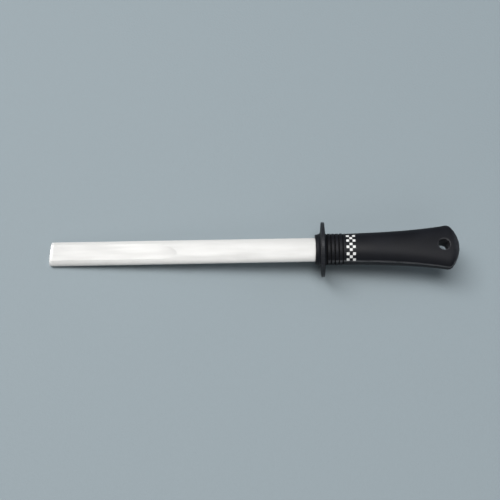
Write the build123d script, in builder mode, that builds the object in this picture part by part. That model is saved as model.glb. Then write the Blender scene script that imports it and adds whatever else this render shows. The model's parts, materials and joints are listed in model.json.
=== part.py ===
from build123d import *
import os
from math import asin, atan2, degrees, hypot, radians, sqrt, tan

# A knife sharpening steel: an oval steel with a flat-ground tip, a round finger guard, and a
# moulded grip in which the tang of the steel is bonded.
# Lengths are in millimetres. Each piece is drawn along the tool's axis: x is the distance from the
# tip end, y the width and z the thickness. At the end the whole tool is laid down as it rests on a
# table, on the lower edge of its tip and on the rim of its guard.

# Driving dimensions: the steel
TOTAL_LENGTH = 380.0
BLADE_LENGTH = 250.0  # tip end to the front of the guard
BLADE_WIDTH_TIP = 24.0
BLADE_WIDTH_ROOT = 22.9
BLADE_THICKNESS = 9.6
FLATS_THICKNESS = 7.4  # across the two ground flats of the tip
FLATS_LENGTH = 101.0  # on the middle line
FLATS_RUN_OUT = 16.0  # where the grinding wheel lifts off
FLATS_SKEW = 40.0  # degrees between the wheel's axis and the width
TIP_CHAMFER = 0.4

# The tang, hidden in the guard and the grip
BLADE_SEAT_DEPTH = 3.0  # how far the full oval sits inside the guard
TANG_END = 340.0
TANG_ROOT = (12.0, 8.0)
TANG_TIP = (7.0, 5.0)
TANG_CORNER = 1.2
TANG_END_CHAMFER = 0.8
NOTCH_STATIONS = (292.0, 308.0, 324.0)
NOTCH_RADIUS = 1.6

# The guard
GUARD_STATION = 257.2  # middle of the disc
GUARD_RADIUS = 25.3
RIM_THICKNESS = 3.0
RIM_EDGE_ROUND = 0.6
FLANK_DRAFT = 5.5  # degrees
COLLAR_FRONT = (13.6, 11.6)  # half width and half thickness
COLLAR_BACK = (15.4, 13.3)
COLLAR_DISH = 0.9  # how far the middle of the collar's front is set back from its sides
COLLAR_EDGE_ROUND = 0.7
FRONT_ROOT_FILLET = 2.0  # between the collar and the disc
BACK_ROOT_FILLET = 0.25
PARTING_STATION = 260.9  # where the guard meets the grip, at the bottom of the first groove
SPIGOT_LENGTH = 3.0
SPIGOT_HALF = (9.5, 7.0)
SLIP = 0.15  # clearance round whatever slides together

# The grip. The fullness of a section is 0.552 for an ellipse and more for squarer corners.
ELLIPSE = 0.552
NECK_FULLNESS = 0.6
BUTT_FULLNESS = 0.72
NECK_HALF = (14.7, 12.6)
RING_PITCH = 3.6
RING_COUNT = 4
GROOVE_WIDTH = 1.0
GROOVE_DEPTH = 0.6
RIB_ROUND = 0.3
LAND_HALF = (14.3, 12.2)  # the smooth band behind the rings
FLARE_END = (368.7, 20.75)  # distance and half width where the flare meets the butt's corner
FLARE_RISE = (0.8, 1.4)  # gain in half width at one and two thirds of the flare
TAPER = 3.4  # loss in half thickness from neck to butt
TAPER_POWER = 1.8  # 1 is a straight taper, and more keeps the neck thick for longer
CORNER_RADIUS = 4.5  # of the butt, seen from above
END_ROUND = 7.0  # of the butt, seen from the side
GRIP_SECTIONS = 44
LAST_SECTION = 0.988  # share of the outline's length; beyond it the butt is a small flat
HOLE_DIAMETER = 10.0
HOLE_STATION = 365.4
HOLE_EDGE_ROUND = 1.0

# The socket of the grip, filled with adhesive round the tang
SOCKET_END = 344.0
SOCKET_MOUTH = (15.0, 11.0)
SOCKET_BOTTOM = (10.0, 8.0)
SOCKET_CORNER = 1.5

seat_station = BLADE_LENGTH + BLADE_SEAT_DEPTH
spigot_end = PARTING_STATION + SPIGOT_LENGTH
neck_end = PARTING_STATION + RING_COUNT * RING_PITCH + GROOVE_WIDTH / 2
core_half = (NECK_HALF[0] - GROOVE_DEPTH, NECK_HALF[1] - GROOVE_DEPTH)


def oval(station, half_width, half_thickness, fullness=ELLIPSE):
    """A rounded section square to the axis, made of four equal quarters."""
    with BuildSketch(Plane.YZ.offset(station)) as section:
        with BuildLine():
            Bezier(
                (half_width, 0),
                (half_width, fullness * half_thickness),
                (fullness * half_width, half_thickness),
                (0, half_thickness),
            )
            mirror(about=Plane.YZ)
            mirror(about=Plane.XZ)
        make_face()
    return section.sketch


def bar(station, size, corner):
    """A rounded rectangle square to the axis."""
    with BuildSketch(Plane.YZ.offset(station)) as section:
        RectangleRounded(*size, corner)
    return section.sketch


# The steel: an oval bar ground flat on both faces at its tip, and its tang in the same forging
with BuildPart() as steel_rod:
    tip_end = oval(0, BLADE_WIDTH_TIP / 2, BLADE_THICKNESS / 2)
    seated_end = oval(seat_station, BLADE_WIDTH_ROOT / 2, BLADE_THICKNESS / 2)
    loft([tip_end, seated_end])

    flat_height = FLATS_THICKNESS / 2
    clear_height = BLADE_THICKNESS / 2 + 0.1
    lift = clear_height - flat_height
    wheel_radius = (FLATS_RUN_OUT**2 + lift**2) / (2 * lift)
    reach = FLATS_LENGTH + BLADE_WIDTH_TIP  # enough to clear the tip when skewed
    grinding_side = Plane(
        origin=(FLATS_LENGTH, 0, 0),
        x_dir=Vector(1, 0, 0).rotate(Axis.Z, FLATS_SKEW),
        z_dir=Vector(0, -1, 0).rotate(Axis.Z, FLATS_SKEW),
    )
    with BuildSketch(grinding_side):
        with BuildLine():
            level = Line((-reach, flat_height), (0, flat_height))
            lift_off = RadiusArc(level @ 1, (FLATS_RUN_OUT, clear_height), -wheel_radius)
            Polyline(lift_off @ 1, (-reach, clear_height), level @ 0)
        make_face()
        mirror(about=Plane.XZ)
    extrude(amount=reach, both=True, mode=Mode.SUBTRACT)
    chamfer(faces().sort_by(Axis.X)[0].edges(), TIP_CHAMFER)

    loft([bar(seat_station, TANG_ROOT, TANG_CORNER), bar(TANG_END, TANG_TIP, TANG_CORNER)])
    chamfer(faces().sort_by(Axis.X)[-1].edges(), TANG_END_CHAMFER)
    with BuildSketch(Plane.XY):
        for notch in NOTCH_STATIONS:
            along = (notch - seat_station) / (TANG_END - seat_station)
            half_width = (TANG_ROOT[0] + along * (TANG_TIP[0] - TANG_ROOT[0])) / 2
            with Locations((notch, half_width), (notch, -half_width)):
                Circle(NOTCH_RADIUS)
    extrude(amount=TANG_ROOT[1], both=True, mode=Mode.SUBTRACT)
steel_rod.part.label = "steel_rod"

# The guard: a thin round disc on an oval collar, keyed to the grip by an oval spigot
with BuildPart() as finger_guard:
    with BuildSketch(Plane.XZ):
        with BuildLine():
            middle_half = RIM_THICKNESS / 2 + GUARD_RADIUS * tan(radians(FLANK_DRAFT))
            Polyline(
                (GUARD_STATION - middle_half, 0),
                (GUARD_STATION - RIM_THICKNESS / 2, GUARD_RADIUS),
                (GUARD_STATION + RIM_THICKNESS / 2, GUARD_RADIUS),
                (GUARD_STATION + middle_half, 0),
                close=True,
            )
        make_face()
        fillet(vertices().group_by(Axis.Z)[-1], RIM_EDGE_ROUND)
    revolve(axis=Axis.X)
    collar_start = oval(BLADE_LENGTH - COLLAR_DISH, *COLLAR_FRONT, NECK_FULLNESS)
    loft([collar_start, oval(GUARD_STATION, *COLLAR_BACK, NECK_FULLNESS)])
    hub_end = PARTING_STATION - GROOVE_WIDTH / 2
    hub = oval(GUARD_STATION, *NECK_HALF, NECK_FULLNESS)
    extrude(hub, amount=hub_end - GUARD_STATION)

    dish_radius = (COLLAR_FRONT[0] ** 2 + COLLAR_DISH**2) / (2 * COLLAR_DISH)
    with Locations((BLADE_LENGTH + COLLAR_DISH - dish_radius, 0)):
        Cylinder(dish_radius, 2 * GUARD_RADIUS, mode=Mode.SUBTRACT)
    dished_face = faces().filter_by(GeomType.CYLINDER).sort_by(Axis.X)[0]
    loops = edges().filter_by(GeomType.BSPLINE).filter_by(lambda edge: edge.is_closed)
    front_root, back_root, hub_edge = loops.sort_by(Axis.X)[-3:]
    fillet(dished_face.edges(), COLLAR_EDGE_ROUND)
    fillet(front_root, FRONT_ROOT_FILLET)
    fillet(back_root, BACK_ROOT_FILLET)
    fillet(hub_edge, RIB_ROUND)

    extrude(oval(hub_end, *core_half, NECK_FULLNESS), amount=GROOVE_WIDTH / 2)
    extrude(oval(PARTING_STATION, *SPIGOT_HALF), amount=SPIGOT_LENGTH)
    seat = oval(seat_station, BLADE_WIDTH_ROOT / 2 + SLIP, BLADE_THICKNESS / 2 + SLIP)
    extrude(seat, amount=-BLADE_SEAT_DEPTH, mode=Mode.SUBTRACT)
    slot_size = (TANG_ROOT[0] + 2 * SLIP, TANG_ROOT[1] + 2 * SLIP)
    slot = bar(seat_station, slot_size, TANG_CORNER)
    extrude(slot, amount=spigot_end - seat_station, mode=Mode.SUBTRACT)
finger_guard.part.label = "finger_guard"

# Half of the grip's outline from above: a slow flare, the corner of the butt, and its end arc,
# whose radius lets it touch the corner's circle
with BuildLine() as outline:
    third = (FLARE_END[0] - neck_end) / 3
    flare = Bezier(
        (neck_end, LAND_HALF[0]),
        (neck_end + third, LAND_HALF[0] + FLARE_RISE[0]),
        (neck_end + 2 * third, LAND_HALF[0] + FLARE_RISE[1]),
        FLARE_END,
    )
    heading = flare % 1
    corner_centre = flare @ 1 + Vector(heading.Y, -heading.X) * CORNER_RADIUS
    gap = TOTAL_LENGTH - corner_centre.X
    end_radius = (gap**2 + corner_centre.Y**2 - CORNER_RADIUS**2) / (2 * (gap - CORNER_RADIUS))
    end_centre = Vector(TOTAL_LENGTH - end_radius, 0)
    touching = end_centre + (corner_centre - end_centre).normalized() * end_radius
    corner = TangentArc(flare @ 1, touching, tangent=heading)
    TangentArc(touching, (TOTAL_LENGTH, 0), tangent=corner % 1)


def half_thickness(station):
    """The grip's side view: a taper, and the rounding at the end of the butt."""
    along = (station - neck_end) / (TOTAL_LENGTH - neck_end)
    into_round = max(0, station - (TOTAL_LENGTH - END_ROUND))
    rounded_off = END_ROUND - sqrt(END_ROUND**2 - into_round**2)
    return LAND_HALF[1] - TAPER * along**TAPER_POWER - rounded_off


# The grip: an oval neck with shallow rings, swelling into a flattened butt with a hanging hole
with BuildPart() as handle_grip:
    sections = []
    for step in range(GRIP_SECTIONS + 1):
        edge_point = outline.wire() @ (LAST_SECTION * step / GRIP_SECTIONS)
        along = (edge_point.X - neck_end) / (TOTAL_LENGTH - neck_end)
        fullness = NECK_FULLNESS + (BUTT_FULLNESS - NECK_FULLNESS) * along
        sections.append(
            oval(edge_point.X, edge_point.Y, half_thickness(edge_point.X), fullness)
        )
    loft(sections)
    core = oval(PARTING_STATION, *core_half, NECK_FULLNESS)
    extrude(core, amount=neck_end - PARTING_STATION)
    for ring in range(RING_COUNT):
        rib_start = PARTING_STATION + ring * RING_PITCH + GROOVE_WIDTH / 2
        extrude(oval(rib_start, *NECK_HALF, NECK_FULLNESS), amount=RING_PITCH - GROOVE_WIDTH)
    neck_loops = edges().filter_by_position(Axis.X, PARTING_STATION, neck_end)
    neck_loops = neck_loops.filter_by(lambda edge: edge.is_closed)
    fillet(neck_loops.group_by(SortBy.LENGTH)[-1], RIB_ROUND)

    with Locations((HOLE_STATION, 0)):
        Hole(HOLE_DIAMETER / 2)
    hole_wall = faces().filter_by(GeomType.CYLINDER)[0]
    fillet(hole_wall.edges().filter_by(GeomType.LINE, reverse=True), HOLE_EDGE_ROUND)

    spigot_room = oval(PARTING_STATION, SPIGOT_HALF[0] + SLIP, SPIGOT_HALF[1] + SLIP)
    extrude(spigot_room, amount=SPIGOT_LENGTH, mode=Mode.SUBTRACT)
    mouth = bar(spigot_end, SOCKET_MOUTH, SOCKET_CORNER)
    bottom = bar(SOCKET_END, SOCKET_BOTTOM, SOCKET_CORNER)
    loft([mouth, bottom], mode=Mode.SUBTRACT)
    bores = faces().filter_by(lambda face: face.radius == HOLE_DIAMETER / 2)
    wall_length = bores[0].bounding_box().size.Z
handle_grip.part.label = "handle_grip"

# The adhesive: fills the socket round the tang, and keys into its notches
with BuildPart() as tang_adhesive:
    loft([mouth, bottom])
    add(steel_rod.part, mode=Mode.SUBTRACT)
tang_adhesive.part.label = "tang_adhesive"

# The tool lies on a table, touching it with the lower edge of its tip and the rim of its guard,
# so its axis climbs towards the butt. The origin is on the table, under the middle of its box.
rim_edge = GUARD_STATION - RIM_THICKNESS / 2 + RIM_EDGE_ROUND  # centre of its rounding
span = rim_edge - TIP_CHAMFER
drop = GUARD_RADIUS - RIM_EDGE_ROUND - flat_height
climb = degrees(atan2(drop, span) + asin(RIM_EDGE_ROUND / hypot(span, drop)))
leaning = Location((0, 0, 0), (0, -climb, 0))
pieces = (steel_rod, finger_guard, handle_grip, tang_adhesive)
box = Compound([piece.part.moved(leaning) for piece in pieces]).bounding_box()
lying = Location((-box.center().X, -box.center().Y, -box.min.Z)) * leaning

os.makedirs("parts", exist_ok=True)
for piece in pieces:
    piece.part.locate(lying)
    export_step(piece.part, f"parts/{piece.part.label}.step")

# What the mounts need
tool = Plane(lying)
print(f"axis climbs {climb:.4f} degrees, box {box.size}")
print(f"thickness direction {tool.z_dir}")
print(f"hanging hole {tool.from_local_coords((HOLE_STATION, 0, 0))}, wall length {wall_length:.3f}")
print(f"blade flat {tool.from_local_coords((FLATS_LENGTH / 2, 0, flat_height))}")
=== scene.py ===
import json
from math import cos, pi, radians, sin

import bpy
from mathutils import Matrix, Vector
from mathutils.bvhtree import BVHTree


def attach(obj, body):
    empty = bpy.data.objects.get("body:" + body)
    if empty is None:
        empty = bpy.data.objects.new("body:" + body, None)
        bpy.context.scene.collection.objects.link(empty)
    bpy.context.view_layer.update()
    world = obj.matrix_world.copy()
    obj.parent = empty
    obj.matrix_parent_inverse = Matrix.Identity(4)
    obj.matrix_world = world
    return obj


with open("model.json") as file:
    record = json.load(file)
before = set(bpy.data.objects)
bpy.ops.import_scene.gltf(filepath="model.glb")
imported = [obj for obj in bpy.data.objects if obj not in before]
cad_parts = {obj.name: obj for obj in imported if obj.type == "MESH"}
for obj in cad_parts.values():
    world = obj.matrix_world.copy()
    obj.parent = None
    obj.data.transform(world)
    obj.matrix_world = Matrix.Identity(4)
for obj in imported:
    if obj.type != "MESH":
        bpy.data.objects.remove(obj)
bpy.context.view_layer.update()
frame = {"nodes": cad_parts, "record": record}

# The tool's own axes, in metres, in the row frame. Its axis starts at the middle of the tip end,
# y is the width and z the thickness. They follow from the hanging hole, which goes through the
# grip along z.
MM = 0.001
HOLE_STATION = 365.4 * MM  # from the tip end to the hanging hole
hole = next(mount for mount in frame["record"]["mounts"] if mount["name"] == "hanging_hole")
tool_z = Vector(hole["axis"]).normalized()
tool_y = Vector((0, 1, 0))
tool_x = tool_y.cross(tool_z)
tip = Vector(hole["pos_m"]) - HOLE_STATION * tool_x
tool = Matrix((tool_x, tool_y, tool_z)).transposed().to_4x4()
tool.translation = tip

# Stations along the tool and sizes across it, in millimetres, for the materials
FLATS_LENGTH = 101.0  # on the middle line
FLATS_RUN_OUT = 16.0
FLATS_SKEW = radians(40)
BLADE_HALF = (11.7, 4.8)  # half width and half thickness of the oval
BLADE_ROUND = 8.5  # mean radius of the oval
CUT_PITCH = 0.42  # between the fine lines of the steel
GUARD_RADIUS = 25.3
TOTAL_LENGTH = 380.0
HOLE_RADIUS = 5.0
RINGS = (260.9, 275.3)  # middles of the first and the last groove of the neck
RING_PITCH = 3.6
SIDE_HIGHLIGHT_FACING = 0.42  # cosine between the thickness and the normal along the grip's painted highlight line

# Camera: above the near side, with the tool across the picture
VIEW_ELEVATION = radians(70)
VIEW_DISTANCE = 0.6442
VIEW_ROLL = radians(0.63)
VIEW_TARGET = Vector((0.0, 0.0081, 0.0))
LENS = 48.24


# ---------------------------------------------------------------- node helpers


def new_material(name, **shader_values):
    """A node material: returns it, its node tree and its Principled shader."""
    made = bpy.data.materials.new(name)
    made.use_nodes = True
    tree = made.node_tree
    tree.nodes.clear()
    output = tree.nodes.new("ShaderNodeOutputMaterial")
    shader = tree.nodes.new("ShaderNodeBsdfPrincipled")
    tree.links.new(shader.outputs[0], output.inputs["Surface"])
    for socket, value in shader_values.items():
        shader.inputs[socket.replace("_", " ")].default_value = value
    return made, tree, shader


def set_or_link(tree, socket, value):
    """Gives a socket its value, or a link where the value is another node's output."""
    if isinstance(value, bpy.types.NodeSocket):
        tree.links.new(value, socket)
    else:
        socket.default_value = value


def node(tree, kind, inputs, **settings):
    """A node with its settings made and its inputs set or linked."""
    made = tree.nodes.new("ShaderNode" + kind)
    for setting, value in settings.items():
        setattr(made, setting, value)
    for socket, value in inputs.items():
        set_or_link(tree, made.inputs[socket], value)
    return made


def calc(tree, operation, first, second=0.0):
    return node(tree, "Math", {0: first, 1: second}, operation=operation).outputs[0]


def ramp(tree, value, start, end, low=0.0, high=1.0):
    """Goes smoothly from low to high while the value goes from start to end."""
    mapped = node(
        tree,
        "MapRange",
        {"Value": value, "From Min": start, "From Max": end, "To Min": low, "To Max": high},
        interpolation_type="SMOOTHSTEP",
    )
    return mapped.outputs["Result"]


def mix_colour(tree, share, first, second):
    mixed = node(tree, "Mix", {"Factor": share}, data_type="RGBA")
    colour_a, colour_b = mixed.inputs[6:8]
    set_or_link(tree, colour_a, first)
    set_or_link(tree, colour_b, second)
    return mixed.outputs[2]


def noise(tree, vector, scale=1, detail=4, roughness=0.55):
    """Soft noise, mostly between 0.3 and 0.7. A larger scale gives smaller spots."""
    inputs = {"Vector": vector, "Scale": scale, "Detail": detail, "Roughness": roughness}
    return node(tree, "TexNoise", inputs).outputs["Fac"]


def stretched(tree, x, y, z, factors):
    """A texture vector with each coordinate times its factor."""
    scaled = [calc(tree, "MULTIPLY", part, factor) for part, factor in zip((x, y, z), factors)]
    return node(tree, "CombineXYZ", {0: scaled[0], 1: scaled[1], 2: scaled[2]}).outputs[0]


def tool_place(tree):
    """Where a point is in the tool's axes, in millimetres: the vector and its three parts."""
    coordinate = node(tree, "TexCoord", {}).outputs["Object"]
    mapped = node(
        tree,
        "Mapping",
        {"Vector": coordinate, "Location": tip, "Rotation": tool.to_euler(), "Scale": [MM] * 3},
        vector_type="TEXTURE",
    )
    place = mapped.outputs[0]
    parts = node(tree, "SeparateXYZ", {0: place}).outputs
    return place, parts[0], parts[1], parts[2]


def facing(tree):
    """The cosine between a surface's normal and the direction of the tool's thickness."""
    surface = node(tree, "NewGeometry", {}).outputs["Normal"]
    return node(tree, "VectorMath", {0: surface, 1: tool_z}, operation="DOT_PRODUCT").outputs["Value"]


def add_bump(tree, shader, *layers):
    """Bumps one on top of the other. A layer is a height from 0 to 1 and its depth in millimetres."""
    normal = None
    for height, depth in layers:
        inputs = {"Height": height, "Distance": depth * MM, "Strength": 1.0}
        if normal is not None:
            inputs["Normal"] = normal
        normal = node(tree, "Bump", inputs).outputs[0]
    tree.links.new(normal, shader.inputs["Normal"])


# ------------------------------------------------------------------ materials

STEEL_DARK = (0.655, 0.65, 0.635, 1)
STEEL_LIGHT = (0.745, 0.74, 0.725, 1)
STEEL_STAINED = (0.60, 0.595, 0.58, 1)
STEEL_RUBBED = (0.86, 0.86, 0.85, 1)
GUARD_BLACK = (0.006, 0.0066, 0.0095, 1)
GUARD_RUBBED = (0.025, 0.027, 0.031, 1)
GRIP_BLACK = (0.0055, 0.006, 0.0085, 1)
# lighter colour for the grip's rubbed end and hole rim, and for the painted highlight along its sides
GRIP_RUBBED_AND_HIGHLIGHT = (0.10, 0.10, 0.105, 1)
# painted shade for the grooves of the neck
GROOVE_SHADE = (0.0015, 0.0015, 0.002, 1)
RESIN_DARK = (0.5, 0.38, 0.18, 1)
RESIN_LIGHT = (0.72, 0.6, 0.36, 1)
FLOOR_DARK = (0.305, 0.362, 0.39, 1)
FLOOR_LIGHT = (0.328, 0.385, 0.414, 1)
INK_WHITE = (0.86, 0.86, 0.84, 1)
INK_WORN = (0.25, 0.25, 0.25, 1)


def steel_material():
    """Bright satin steel: a fine cut along it, smoother ground flats, and a rubbed tip edge."""
    made, tree, shader = new_material("satin_steel", Metallic=1.0, Anisotropic=0.82)
    x, y, z = tool_place(tree)[1:]
    angle = calc(
        tree,
        "ARCTAN2",
        calc(tree, "DIVIDE", z, BLADE_HALF[1]),
        calc(tree, "DIVIDE", y, BLADE_HALF[0]),
    )
    around = calc(tree, "MULTIPLY", angle, BLADE_ROUND)  # about the distance round the oval
    surface = node(tree, "NewGeometry", {}).outputs["Normal"]
    across = node(tree, "VectorMath", {0: surface, 1: tool_x}, operation="CROSS_PRODUCT")
    tree.links.new(across.outputs[0], shader.inputs["Tangent"])
    level = ramp(tree, calc(tree, "ABSOLUTE", facing(tree)), 0.95, 0.975)
    beyond = calc(
        tree,
        "ADD",
        calc(tree, "MULTIPLY", calc(tree, "SUBTRACT", x, FLATS_LENGTH), cos(FLATS_SKEW)),
        calc(tree, "MULTIPLY", y, sin(FLATS_SKEW)),
    )
    in_flats = ramp(tree, beyond, FLATS_RUN_OUT, 0.0)
    flat = calc(tree, "MULTIPLY", level, in_flats)
    cut_depth = ramp(tree, flat, 0.0, 1.0, 1.0, 0.12)

    streaks = noise(tree, stretched(tree, x, around, z, (0.012, 2.2, 0)), detail=6, roughness=0.6)
    broad = noise(tree, stretched(tree, x, around, z, (0.02, 0.25, 0)), detail=3)
    wave = calc(tree, "SINE", calc(tree, "MULTIPLY", around, 2 * pi / CUT_PITCH))
    cut = calc(tree, "MULTIPLY", ramp(tree, wave, -1.0, 1.0), cut_depth)
    rubbed = noise(tree, stretched(tree, x, around, z, (0.03, 0.3, 0)))

    colour = mix_colour(tree, streaks, STEEL_DARK, STEEL_LIGHT)
    colour = mix_colour(tree, ramp(tree, broad, 0.45, 0.75, 0.0, 0.35), colour, STEEL_STAINED)
    bright = calc(tree, "MULTIPLY", ramp(tree, x, 4.0, 0.3), ramp(tree, rubbed, 0.3, 0.6))
    colour = mix_colour(tree, bright, colour, STEEL_RUBBED)
    tree.links.new(colour, shader.inputs["Base Color"])
    rough = ramp(tree, streaks, 0.25, 0.75, 0.55, 0.65)
    rough = calc(tree, "SUBTRACT", rough, calc(tree, "MULTIPLY", bright, 0.15))
    rough = calc(tree, "ADD", rough, ramp(tree, rubbed, 0.35, 0.7, -0.02, 0.03))
    tree.links.new(rough, shader.inputs["Roughness"])
    add_bump(tree, shader, (cut, 0.02), (streaks, 0.01))
    return made


def ring_groove_shade(tree, x):
    """Painted shade in the grooves of the neck: a mask where the colour is darkened and the plastic
    made duller.
    """
    along = calc(tree, "DIVIDE", calc(tree, "SUBTRACT", x, RINGS[0]), RING_PITCH)
    from_groove = calc(tree, "PINGPONG", along, 0.5)
    in_groove = ramp(tree, from_groove, 0.2, 0.1)
    after_start = ramp(tree, x, RINGS[0] - 1.0, RINGS[0] - 0.7)
    before_end = ramp(tree, x, RINGS[1] + 1.0, RINGS[1] + 0.7)
    return calc(tree, "MULTIPLY", in_groove, calc(tree, "MULTIPLY", after_start, before_end))


def plastic_material(name, colour, rubbed_and_highlight_colour, wear_and_highlight):
    """Black moulded plastic with a fine grain. The wear function gives where it is rubbed, and for
    the grip also where a highlight line is painted along its sides.
    """
    made, tree, shader = new_material(name, Specular_IOR_Level=0.21)
    place, x, y, z = tool_place(tree)
    grain = noise(tree, place, scale=2.6, detail=3)
    cloud = noise(tree, place, scale=0.06)
    scuffs = noise(tree, stretched(tree, x, y, z, (0.1, 0.9, 0.9)), detail=5, roughness=0.7)
    breakup = ramp(tree, scuffs, 0.34, 0.56)
    # rubbed places, and on the grip also the painted highlight line along its sides
    rubbed = calc(tree, "MULTIPLY", wear_and_highlight(tree, x, y, z), breakup)
    # mask of the painted shade in the grooves of the neck
    groove_shade = ring_groove_shade(tree, x)
    dull = [part * 1.35 for part in colour[:3]] + [1]
    base = mix_colour(tree, ramp(tree, cloud, 0.35, 0.7), colour, dull)
    base = mix_colour(tree, rubbed, base, rubbed_and_highlight_colour)
    # the grooves of the neck darkened as painted shade
    tree.links.new(mix_colour(tree, groove_shade, base, GROOVE_SHADE), shader.inputs["Base Color"])
    rough = ramp(tree, cloud, 0.3, 0.7, 0.5, 0.56)
    rough = calc(tree, "SUBTRACT", rough, calc(tree, "MULTIPLY", rubbed, 0.12))
    rough = calc(tree, "ADD", rough, ramp(tree, grain, 0.3, 0.7, -0.03, 0.03))
    rough = calc(tree, "ADD", rough, calc(tree, "MULTIPLY", groove_shade, 0.4))
    tree.links.new(rough, shader.inputs["Roughness"])
    add_bump(tree, shader, (grain, 0.02), (scuffs, 0.01))
    return made


def from_axis(tree, y, z):
    """The distance from the tool's axis."""
    squares = [calc(tree, "POWER", calc(tree, "ABSOLUTE", part), 2.0) for part in (y, z)]
    return calc(tree, "SQRT", calc(tree, "ADD", *squares))


def guard_wear(tree, x, y, z):
    """The guard is rubbed along its rim."""
    return ramp(tree, from_axis(tree, y, z), GUARD_RADIUS - 1.4, GUARD_RADIUS - 0.2)


def grip_wear_and_highlight(tree, x, y, z):
    """The grip is rubbed at its end and round its hanging hole, and has a painted highlight line
    along both sides.
    """
    end = ramp(tree, x, TOTAL_LENGTH - 8.0, TOTAL_LENGTH - 1.0, 0.0, 0.35)
    from_side = calc(tree, "ABSOLUTE", calc(tree, "SUBTRACT", facing(tree), SIDE_HIGHLIGHT_FACING))
    # painted highlight: a lighter line where the grip's sides turn down
    side_highlight = ramp(tree, from_side, 0.16, 0.04)
    from_hole = from_axis(tree, calc(tree, "SUBTRACT", x, HOLE_STATION / MM), y)
    rim = ramp(tree, from_hole, HOLE_RADIUS + 1.4, HOLE_RADIUS + 0.4, 0.0, 0.5)
    return calc(tree, "MAXIMUM", calc(tree, "MAXIMUM", end, side_highlight), rim)


def adhesive_material():
    """Cured resin, cloudy and slightly glossy."""
    made, tree, shader = new_material("cured_resin")
    place = tool_place(tree)[0]
    cloud = noise(tree, place, scale=0.3, detail=5)
    colour = mix_colour(tree, cloud, RESIN_DARK, RESIN_LIGHT)
    tree.links.new(colour, shader.inputs["Base Color"])
    tree.links.new(ramp(tree, cloud, 0.3, 0.7, 0.3, 0.5), shader.inputs["Roughness"])
    add_bump(tree, shader, (cloud, 0.05))
    return made


def floor_material():
    made, tree, shader = new_material("pale_floor")
    place = node(tree, "TexCoord", {}).outputs["Object"]
    cloud = noise(tree, place, scale=3, detail=5)
    colour = mix_colour(tree, cloud, FLOOR_DARK, FLOOR_LIGHT)
    tree.links.new(colour, shader.inputs["Base Color"])
    tree.links.new(ramp(tree, cloud, 0.3, 0.7, 0.7, 0.8), shader.inputs["Roughness"])
    add_bump(tree, shader, (noise(tree, place, scale=400, detail=3), 0.2))
    return made


def dress(name, material):
    """Gives a carried CAD node its material."""
    slots = frame["nodes"][name].data.materials
    slots.clear()
    slots.append(material)


dress("steel_rod", steel_material())
dress("finger_guard", plastic_material("guard_black", GUARD_BLACK, GUARD_RUBBED, guard_wear))
dress("handle_grip", plastic_material("grip_black", GRIP_BLACK, GRIP_RUBBED_AND_HIGHLIGHT, grip_wear_and_highlight))
dress("tang_adhesive", adhesive_material())


# ------------------------------------------------------------- mesh and floor


def new_piece(name, points, faces, material):
    mesh = bpy.data.meshes.new(name)
    mesh.from_pydata(points, [], faces)
    mesh.validate()
    mesh.materials.append(material)
    piece = bpy.data.objects.new(name, mesh)
    bpy.context.scene.collection.objects.link(piece)
    return piece


FLOOR_HALF = 2.4
corners = ((-1, -1), (1, -1), (1, 1), (-1, 1))
floor_points = [(x * FLOOR_HALF, y * FLOOR_HALF, 0) for x, y in corners]
floor = new_piece("floor", floor_points, [(0, 1, 2, 3)], floor_material())


# ---------------------------------------------------------------------- print

# Three squares of checks, one beside the other round the front of the grip, in millimetres
PRINT_START = 278.2
MARK_LENGTH = 8.4
MARK_ARC = 8.4  # its size round the grip
MARK_GAP = 1.0
PRINT_SHIFT = -2.2  # of the middle mark from the top of the grip, towards the near side
GRIP_ROUND = 13.3  # mean radius of the grip there
CHECK_ROWS = 3
CHECK_SHARE = 0.92  # of its place, so that checks don't touch at their corners
PRINT_STEP = 0.5  # mesh cells of the ink
INK_HEIGHT = 0.04
INK_ROOT = 0.12  # how far the ink's closed mesh reaches into the grip
CLEAR_OF_GRIP = 30.0  # a distance from the axis that is outside the grip


def ink_material():
    """White printing ink, slightly worn through."""
    made, tree, shader = new_material("white_ink")
    place = tool_place(tree)[0]
    worn = ramp(tree, noise(tree, place, scale=1.6, detail=5, roughness=0.7), 0.60, 0.68)
    colour = mix_colour(tree, worn, INK_WHITE, INK_WORN)
    tree.links.new(colour, shader.inputs["Base Color"])
    tree.links.new(ramp(tree, worn, 0.0, 1.0, 0.45, 0.6), shader.inputs["Roughness"])
    add_bump(tree, shader, (noise(tree, place, scale=3), 0.01))
    return made


def checks(parity):
    """Every other square of a mark, as (start, end, low, high) shares of it."""
    margin = (1 - CHECK_SHARE) / 2
    rows = range(CHECK_ROWS)
    spans = [((row + margin) / CHECK_ROWS, (row + 1 - margin) / CHECK_ROWS) for row in rows]
    return [(*spans[a], *spans[b]) for a in rows for b in rows if (a + b) % 2 == parity]


def outside_point(grip_tree, station, arc, height):
    """The point that is height above the grip's surface, at a station and an arc from its top."""
    angle = arc / GRIP_ROUND
    outward = sin(angle) * tool_y + cos(angle) * tool_z
    axis_point = tip + station * MM * tool_x
    hit, normal, _, _ = grip_tree.ray_cast(axis_point + CLEAR_OF_GRIP * MM * outward, -outward)
    return hit + height * MM * normal


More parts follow.
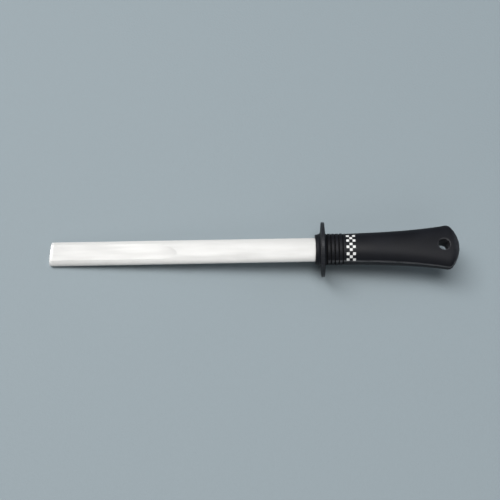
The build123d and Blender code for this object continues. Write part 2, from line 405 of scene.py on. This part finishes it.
def print_mark(name, rectangles, arc_start, material):
    """A mark as closed, thin blocks of ink that follow the grip's surface.

    Each rectangle gives the start and end of a block along the mark and its low and high side
    round the grip, as shares of the mark's size.
    """
    grip = frame["nodes"]["handle_grip"].data
    grip_tree = BVHTree.FromPolygons(
        [vertex.co for vertex in grip.vertices], [face.vertices for face in grip.polygons]
    )
    points, faces = [], []
    for start, end, low, high in rectangles:
        length, breadth = (end - start) * MARK_LENGTH, (high - low) * MARK_ARC
        rows, columns = (max(1, round(size / PRINT_STEP)) for size in (length, breadth))
        first = len(points)
        layer = (rows + 1) * (columns + 1)
        for height in (INK_HEIGHT, -INK_ROOT):
            for row in range(rows + 1):
                station = PRINT_START + start * MARK_LENGTH + length * row / rows
                for column in range(columns + 1):
                    arc = arc_start + low * MARK_ARC + breadth * column / columns
                    points.append(outside_point(grip_tree, station, arc, height))
        rim = [row * (columns + 1) for row in range(rows)]
        rim += [rows * (columns + 1) + column for column in range(columns)]
        rim += [row * (columns + 1) + columns for row in range(rows, 0, -1)]
        rim += list(range(columns, 0, -1))
        for row in range(rows):
            for column in range(columns):
                corner = first + row * (columns + 1) + column
                quad = (corner, corner + columns + 1, corner + columns + 2, corner + 1)
                faces.append(quad)
                faces.append(tuple(index + layer for index in reversed(quad)))
        for index, following in zip(rim, rim[1:] + rim[:1]):
            index, following = first + index, first + following
            faces.append((following, index, index + layer, following + layer))
    piece = new_piece(name, points, faces, material)
    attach(piece, "root")


ink = ink_material()
for place, parity in ((-1, 0), (0, 1), (1, 0)):
    arc_start = PRINT_SHIFT - MARK_ARC / 2 + place * (MARK_ARC + MARK_GAP)
    print_mark(f"print_{place + 2}", checks(parity), arc_start, ink)


# ----------------------------------------------------------- light and camera


def area_light(name, place, size, power, aim=(0, 0, 0), colour=(1, 1, 1)):
    """A soft box at place that faces aim. Its second size is the one along its tilt."""
    data = bpy.data.lights.new(name, "AREA")
    data.shape = "RECTANGLE"
    data.size, data.size_y = size
    data.energy = power
    data.color = colour
    light = bpy.data.objects.new(name, data)
    light.location = place
    light.rotation_mode = "QUATERNION"
    light.rotation_quaternion = (Vector(aim) - Vector(place)).to_track_quat("-Z", "Y")
    bpy.context.scene.collection.objects.link(light)


area_light("overhead", (-0.75, 0.38, 3.0), size=(1.3, 3.4), power=106, aim=(-0.02, 0, 0))
area_light("near_fill", (0.2, -2.3, 1.8), size=(2.6, 1.5), power=9)
area_light("side_fill", (2.05, 0.83, 1.17), size=(1.6, 1.0), power=6, colour=(0.75, 0.87, 1.0))
area_light("far_fill", (-0.3, 1.9, 2.4), size=(2.4, 1.4), power=4, colour=(0.85, 0.93, 1.0))

# The room: dim, with a paler horizon
world = bpy.data.worlds.new("studio")
world.use_nodes = True
room = world.node_tree
background = room.nodes["Background"]
direction = node(room, "TexCoord", {}).outputs["Generated"]
rise = node(room, "SeparateXYZ", {0: direction}).outputs["Z"]
room.links.new(ramp(room, rise, 0.08, 0.30, 0.30, 0.035), background.inputs["Strength"])
background.inputs["Color"].default_value = (0.84, 0.92, 1.0, 1)
bpy.context.scene.world = world
bpy.context.scene.view_settings.view_transform = "Standard"

forward = Vector((0, cos(VIEW_ELEVATION), -sin(VIEW_ELEVATION)))
upward = Vector((0, sin(VIEW_ELEVATION), cos(VIEW_ELEVATION)))
rightward = Vector((1, 0, 0))
image_right = cos(VIEW_ROLL) * rightward + sin(VIEW_ROLL) * upward
image_up = cos(VIEW_ROLL) * upward - sin(VIEW_ROLL) * rightward
camera_data = bpy.data.cameras.new("camera")
camera_data.lens = LENS
camera = bpy.data.objects.new("camera", camera_data)
camera.matrix_world = Matrix.Translation(VIEW_TARGET - VIEW_DISTANCE * forward) @ Matrix(
    (image_right, image_up, -forward)
).transposed().to_4x4()
bpy.context.scene.collection.objects.link(camera)
bpy.context.scene.camera = camera
